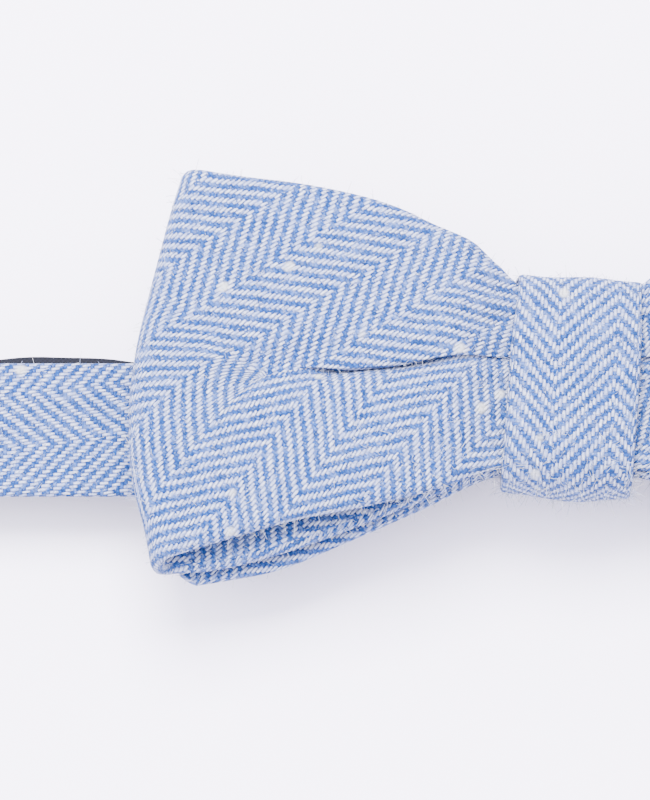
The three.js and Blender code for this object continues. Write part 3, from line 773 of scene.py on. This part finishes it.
def rear_faces(reach, thickness, hem):
    t = np.linspace(-1, 1, 61)
    straight = (np.sign(t) * np.abs(t) ** 1.25 * reach)[:, None]
    share = np.linspace(0, 1, 33)[None, :] ** 1.6
    corner = 2.0 * np.clip(1 - share * 57 / 2.6, 0, 1) ** 2
    x = straight + 0 * share
    for _ in range(3):
        a = np.abs(x)
        low = rear_bottom(a) + hem + thickness / 2
        high = wing_top(a) - 1.2 - hem - thickness / 2
        y = low + (high - low) * share
        drawn = end_outline(y) - 3.2 - (rear_reach - reach) - corner - 1.5 * share**9
        x = straight * (1 - (1 - drawn / reach) * (straight / reach) ** 2)
    z = 12.05 - 0.9 * ease(np.abs(x), 15, 55) + 0.25 * np.sin(x / 9) * ease(np.abs(x), 12, 25)
    middle = leaned(np.stack([x, y, z + 0 * y], -1))
    return both_faces(middle, thickness), bias_cloth(x, y, np.sign(x), 0.0)


faces, cloth = rear_faces(rear_reach, 1.9, 0.0)
belongs(sewn_piece("rear_strip_cloth", faces, cloth, wool), "bow", ["rear_strip_shell"])
faces, cloth = rear_faces(rear_reach - 2.0, 0.5, 1.5)
core = sewn_piece("rear_strip_core", faces, cloth, core_cloth)
belongs(core, "bow", ["rear_strip_interlining"])

# ---------------------------------------------------------------------------
# Front loop: one long sewn strip folded at both wing ends, its ends butted at the
# back. The knot gathers it, so its upper half laps over the lower in one pleat.

front_loop_ply = 2.1
front_low = 15.8
back_low = 13.4
pleat_depth = 4.3

# Where the lower panel ends under the pleat, and the rows of the pleat's lip, each a step across and a step
# in height, all as shares of the pleat's depth
tuck_share = 0.34
lip_rows = (
    (tuck_share, -1.00),
    (0.12, -0.80),
    (-0.12, -0.50),
    (-0.25, -0.22),
    (-0.22, -0.07),
    (-0.04, -0.004),
)


def front_bottom(a):
    distances = (0, 7, 9.3, 17.7, 27.6, 37.9, 48.2, 57)
    return -curve(a, distances, (pinch_half, pinch_half, 13.1, 16.5, 19.1, 20.9, 23.9, 26.6))


def back_bottom(a):
    distances = (0, 8, 10, 20, 28, 36.5, 42.5, 49.2, 57)
    return -curve(a, distances, (pinch_half, pinch_half, 13.1, 17.0, 20.2, 23.4, 25.2, 26.8, 27.4))


def crease_line(a):
    return curve(a, (0, 9.3, 24, 38, 50, 62), (3.0, 2.9, 1.6, 0.4, -2.9, -6.9))


def pleat(a):
    """The pleat's depth: shallow at the knot, deepest half way along the wing, and soon gone after that."""
    return pleat_depth * (0.15 + 0.85 * ease(a, 13, 27)) * (1 - ease(a, 30, 38)) + 0.02


def wing_lift(a, y):
    """How far the front leg's face stands above its height in the knot."""
    share = np.clip((a - flare_start) / (wing_reach - flare_start), 0, 1)
    lift = ease(share, 0, 0.2) * (2.9 - 0.7 * share) + 0.9 * np.sin(math.pi * share)
    upper_sag = 0.5 * np.exp(-(((wing_top(a) - y) / 4) ** 2))
    lower_sag = 1.1 * np.exp(-(((y - front_bottom(a)) / 5) ** 2)) * (1 - 0.8 * ease(share, 0.6, 0.95))
    gathers = 0.22 * np.sin(y * 1.35 + 0.6) * np.exp(-(((a - 12) / 9) ** 2))
    waves = 0.25 * np.sin(a * 0.16 + y * 0.10) * ease(share, 0.1, 0.4)
    valley = 1.5 * ease(a, 22, 38) * (1 - ease(a, 44, 56))
    waves = waves - valley * np.exp(-(((y - crease_line(a) - 0.6) / 2.8) ** 2))
    return lift - (upper_sag + lower_sag) * ease(share, 0, 0.25) + gathers + waves


def front_leg(side, thickness, hem, stations):
    """Upper and under faces of one wing's front leg, from the knot outwards, with its places on the cloth.
    Its rows climb the panel below the crease, the lip of the pleat, and the panel above."""
    panel = np.linspace(0, 1, 24)
    rows = 2 * len(panel) + len(lip_rows)
    t = np.linspace(0, 1, stations) ** 1.25
    reach = 58.0
    a0 = np.repeat((t * reach)[:, None], rows, 1)
    a = a0.copy()
    for _ in range(3):
        low = front_bottom(a) + hem
        high = wing_top(a) - hem
        fold = crease_line(a)
        depth = pleat(a)
        y = np.zeros_like(a)
        z_drop = np.zeros_like(a)
        n = len(panel)
        tuck = fold + tuck_share * depth
        y[:, :n] = low[:, :n] + (tuck - low)[:, :n] * panel
        z_drop[:, :n] = depth[:, :n] * np.exp(-(((tuck[:, :n] - y[:, :n]) / 2.4) ** 2))
        # A thinner layer's lip rows lie further up, so that the core's crease stays inside the cloth's
        inset = (front_loop_ply - thickness) / 2
        for k, (out, drop) in enumerate(lip_rows):
            level = tuck_share * depth[:, n + k] + 0.1 - 0.01 * (len(lip_rows) - k)
            y[:, n + k] = fold[:, n + k] + np.minimum(out * depth[:, n + k] + 0.01 * (k + 1) + inset, level)
            z_drop[:, n + k] = -drop * depth[:, n + k]
        m = n + len(lip_rows)
        foot = fold + tuck_share * depth + 0.1
        y[:, m:] = foot[:, m:] + (high - foot)[:, m:] * panel
        bulge = (front_low + front_loop_ply - back_low) / 2 + 0.9
        end = end_outline(y) - bulge
        a = a0 * (1 - (1 - end / reach) * (a0 / reach) ** 2)
    top_z = front_low + front_loop_ply + wing_lift(a, y) - z_drop - (front_loop_ply - thickness) / 2
    floor = back_low + front_loop_ply + 0.2 + (front_loop_ply - thickness) / 2
    smooth_under = front_low + wing_lift(a, y) + (front_loop_ply - thickness) / 2
    under_z = np.maximum(np.minimum(smooth_under, top_z - thickness * 0.3), floor)
    top_z = np.maximum(top_z, under_z + 0.3 * thickness)
    x = side * a
    top = np.stack([x, y, top_z], -1)
    under = np.stack([x, y, under_z], -1)

    # The cloth's height is measured over the surface, from each panel's outer edge
    step = np.hypot(np.diff(y, axis=1), np.diff(top_z, axis=1))
    run = np.concatenate([np.zeros((stations, 1)), np.cumsum(step, 1)], 1)
    cloth_y = np.where(np.arange(rows)[None, :] < n, y[:, :1] + run, y[:, -1:] - (run[:, -1:] - run))
    width = 0.01 + 16 * ease(a, 42, 58)
    from_crease = np.clip(np.abs(cloth_y - fold) / width, 0, 1)
    from_crease = np.where(a < 42, 1.0, from_crease)
    upper_side = np.arange(rows)[None, :] >= n
    turned = np.where(upper_side, -0.19, 0.17) * from_crease + 0.035 * (1 - from_crease)
    return top, under, bias_cloth(x, cloth_y, side, turned * -side), turned * -side


def loop_faces(thickness, hem, stations=46, arc_steps=12, gap=0.3):
    """The whole loop's outer and inner faces: each half is a front leg, its end fold and a back leg."""
    halves = []
    for side in (-1, 1):
        top, under, cloth, turned = front_leg(side, thickness, hem, stations)
        rows = top.shape[1]
        share = np.linspace(0, 1, rows)[None, :]
        end_top = top[-1]
        end_under = under[-1]
        t = (np.linspace(0, 1, 18) ** 0.9)[:, None]
        back_a = np.abs(end_top[None, :, 0]) * (1 - t) + gap * t
        low = back_bottom(back_a) + hem
        high = wing_top(back_a) - 0.4 - hem
        rough = (end_top[:, 1] - end_top[0, 1]) / (end_top[-1, 1] - end_top[0, 1])
        rough = rough[None, :] * (1 - ease(t, 0, 0.3)) + share * ease(t, 0, 0.3)
        back_y = low + (high - low) * rough
        low_z = back_low + (front_loop_ply - thickness) / 2 + 0 * back_y
        back_out = np.stack([side * back_a, back_y, low_z], -1)
        back_in = back_out + np.array([0, 0, thickness])
        turn = np.linspace(0, math.pi, arc_steps + 1)[1:-1, None, None]
        arcs = []
        for first, last in ((end_top, back_out[0]), (end_under, back_in[0])):
            centre = (first + last) / 2
            arm = (first - last) / 2
            radius = np.abs(arm[..., 2:])
            heading = (top[-1] - top[-3]) * np.array([1, 1, 0])
            outward = unit(heading) * radius
            arcs.append(centre + arm * np.cos(turn) + outward * np.sin(turn))
        fold_length = math.pi * np.abs(end_top[:, 2] - back_out[0, :, 2]).mean() / 2
        spread = side * fold_length * turn[..., 0] / math.pi
        fold_cloth = bias_cloth(0, arcs[0][..., 1], side, turned[-1], end_top[:, 0] + spread)
        unrolled = 2 * side * (np.abs(end_top[:, 0]).mean()) + side * fold_length - back_out[..., 0]
        back_cloth = bias_cloth(0, back_y, side, 0.0, unrolled)
        outer = np.concatenate([top, arcs[0], back_out[:1], back_out])
        inner = np.concatenate([under, arcs[1], back_in[:1], back_in])
        fold_end = bias_cloth(0, back_y[:1], side, turned[-1], (end_top[:, 0] + side * fold_length)[None])
        places = np.concatenate([cloth, fold_cloth, fold_end, back_cloth])
        inner[len(top) + len(arcs[0])] += np.array([side * 0.004, 0, 0])
        outer[len(top) + len(arcs[0])] += np.array([side * 0.004, 0, 0])
        halves.append((outer, inner, places))
    left, right = halves
    left[0][0, :, 0] = left[1][0, :, 0] = -0.004
    right[0][0, :, 0] = right[1][0, :, 0] = 0.004
    outer, inner, places = (np.concatenate([l[::-1], r]) for l, r in zip(left, right))
    return (leaned(outer), leaned(inner)), places


faces, cloth = loop_faces(front_loop_ply, 0.9)
inside = bias_cloth(faces[1][..., 0], faces[1][..., 1], -1, 0.0)
loop = sewn_piece("front_loop_cloth", faces, cloth, wool, under_cloth=inside)
belongs(loop, "bow", ["front_loop_shell"])
faces, cloth = loop_faces(0.5, 2.4, gap=0.6)
core = sewn_piece("front_loop_core", faces, cloth, core_cloth)
belongs(core, "bow", ["front_loop_interlining"])

# ---------------------------------------------------------------------------
# Knot: a wide strip of the wool wrapped once round the gathered bow and the
# band, over a core and the gathering thread, and stitched shut at the back.

knot_foot = 6.9
knot_crown = 20.6


def knot_ring(inset, thickness, half_width, rows=23, stations=96, crown=0.8):
    """A strip round the bow: across is the knot's width, along goes round it."""
    turn = math.pi + np.linspace(0, 2 * math.pi, stations, endpoint=False)[:, None]
    power = 2 / 3.4
    half_y = 15.4 - inset - thickness / 2
    half_z = (knot_crown - knot_foot) / 2 - inset - thickness / 2 + 0.35
    share = np.linspace(-1, 1, rows)[None, :]
    y = np.sign(np.sin(turn)) * np.abs(np.sin(turn)) ** power * half_y
    z = (knot_crown + knot_foot) / 2 + np.sign(np.cos(turn)) * np.abs(np.cos(turn)) ** power * half_z
    narrow = half_width - thickness / 2 - 0.5 * ease(y, 2, 14) * ease(z, 12, 20)
    x = share * narrow
    round_z = ease(z, 10, 19)
    z = z + crown * (1 - share**2) * round_z - 0.25 * ease(np.abs(share), 0.75, 1.0) * round_z
    y = y * (1 - 0.012 * share**2) + 0.18 * np.sin(x * 0.55 + 1.0) * np.sign(y) * ease(np.abs(y), 12, 15)
    z = z + 0.14 * np.sin(y * 0.42 + x * 0.25) * round_z
    middle = np.stack([x + 0 * y, y + 0 * x, z + 0 * x], -1)
    step = np.linalg.norm(np.roll(middle, -1, 0) - middle, axis=-1).mean(1)
    length = np.concatenate([[0], np.cumsum(step)[:-1]])
    cloth = np.stack([length[:, None] + 0 * share, x + knot_spine], -1)
    moved = middle.copy()
    moved[..., 0] += knot_lean * middle[..., 1]
    # The wrap sits a little low, more so to the right and along the middle of its width
    moved[..., 1] -= 0.25 + 0.065 * middle[..., 0] + 0.45 * (1 - share**2)
    return both_faces(moved, thickness, ring=True), cloth


knot_spine = 8.88
faces, cloth = knot_ring(0.0, 1.3, 9.0)
belongs(sewn_piece("knot_cloth", faces, cloth, wool, ring=True), "bow", ["knot_cover"])
faces, cloth = knot_ring(0.45, 0.4, 8.0, rows=9, stations=64)
core = sewn_piece("knot_core", faces, cloth, core_cloth, ring=True)
belongs(core, "bow", ["knot_interlining"])

stitches = stitch_row((0.0, 0.0, 0.0), 12.0, 2.0, 13, -0.12)
seam = [np.stack([row[:, 1], row[:, 0], 5.85 + row[:, 2]], -1) for row in stitches]
belongs(tubes("knot_stitch_thread", seam, 0.14, 6, thread), "bow", ["knot_stitches"])

wraps = []
for wrap in np.linspace(-0.45, 0.45, 4):
    t = np.linspace(0, 2 * math.pi, 49)
    y = np.sign(np.sin(t)) * np.abs(np.sin(t)) ** 0.5 * 13.25
    z = 14.45 + np.sign(np.cos(t)) * np.abs(np.cos(t)) ** 0.5 * 3.9
    wraps.append(np.stack([wrap + 0.2 * t / math.pi + knot_lean * y, y, z], -1))
belongs(tubes("gather_thread_wraps", wraps, 0.14, 6, thread), "bow", ["gather_thread"])

# ---------------------------------------------------------------------------
# Loose fibres: fine hairs that stand off the wool of the bow and the band's front
# run, longer and closer together along the bow's lower edge near the knot.


def hairs(pieces, count, seed):
    """Curved hairs grown from random points of the given pieces' surfaces, as paths of points."""
    rng = np.random.default_rng(seed)
    grown = []
    for piece, share in pieces:
        piece.data.calc_loop_triangles()
        places = np.array([tuple(v.co) for v in piece.data.vertices]) / MM
        triangles = np.array([tuple(t.vertices) for t in piece.data.loop_triangles])
        a, b, c = (places[triangles[:, k]] for k in range(3))
        normal = np.cross(b - a, c - a)
        area = np.linalg.norm(normal, axis=1) / 2
        normal = unit(normal)
        middle = (a + b + c) / 3
        seen = (normal[:, 2] > -0.6) & (middle[:, 2] > 5)
        edge_on = 1 - np.abs(normal[:, 2])
        low_edge = np.exp(-np.maximum(middle[:, 1] + 12, 0) / 5) * (1 - ease(np.abs(middle[:, 0]), 12, 45))
        weight = area * seen * (0.5 + 2.2 * edge_on + 3.0 * low_edge)
        picks = rng.choice(len(area), int(count * share), p=weight / weight.sum())
        for pick in picks:
            u, v = rng.random(2)
            if u + v > 1:
                u, v = 1 - u, 1 - v
            root = a[pick] + u * (b[pick] - a[pick]) + v * (c[pick] - a[pick]) - normal[pick] * 0.1
            drift = rng.normal(0, 1, 3)
            bend = rng.normal(0, 1, 3)
            length = (0.4 + 1.2 * rng.random() ** 2) * (1 + 0.7 * low_edge[pick])
            heading = normal[pick] * 0.75 + drift * 0.55
            heading[2] = max(heading[2], 0.0) if root[2] > 8 else heading[2]
            t = np.linspace(0, 1, 5)[:, None]
            grown.append(root + unit(heading) * length * t + bend * length * 0.28 * t * t)
    return grown


def fibre_finish():
    finish = Finish("loose_wool_fibre")
    place = finish.node("ShaderNodeTexCoord").outputs["Object"]
    tone = finish.noise(place, 700.0, 1.0)
    blue_grey = (0.26, 0.30, 0.44, 1)
    off_white = (0.55, 0.54, 0.53, 1)
    colour = finish.mix(((tone - 0.4) * 4.0).clamp(0.0, 1.0), blue_grey, off_white)
    finish.set(Base_Color=colour, Roughness=0.9, Specular_IOR_Level=0.1)
    return finish.material


fibre_count = 7000
fibre_seed = 11
fibre_radius = 0.028
fibre_shares = {
    "front_loop_cloth": 0.55,
    "knot_cloth": 0.16,
    "band_cover_cloth": 0.10,
    "rear_strip_cloth": 0.12,
}
woolly = [(bpy.data.objects[name], share) for name, share in fibre_shares.items()]
fibres = tubes("loose_fibres", hairs(woolly, fibre_count, fibre_seed), fibre_radius, 3, fibre_finish())
belongs(fibres, "bow", [])
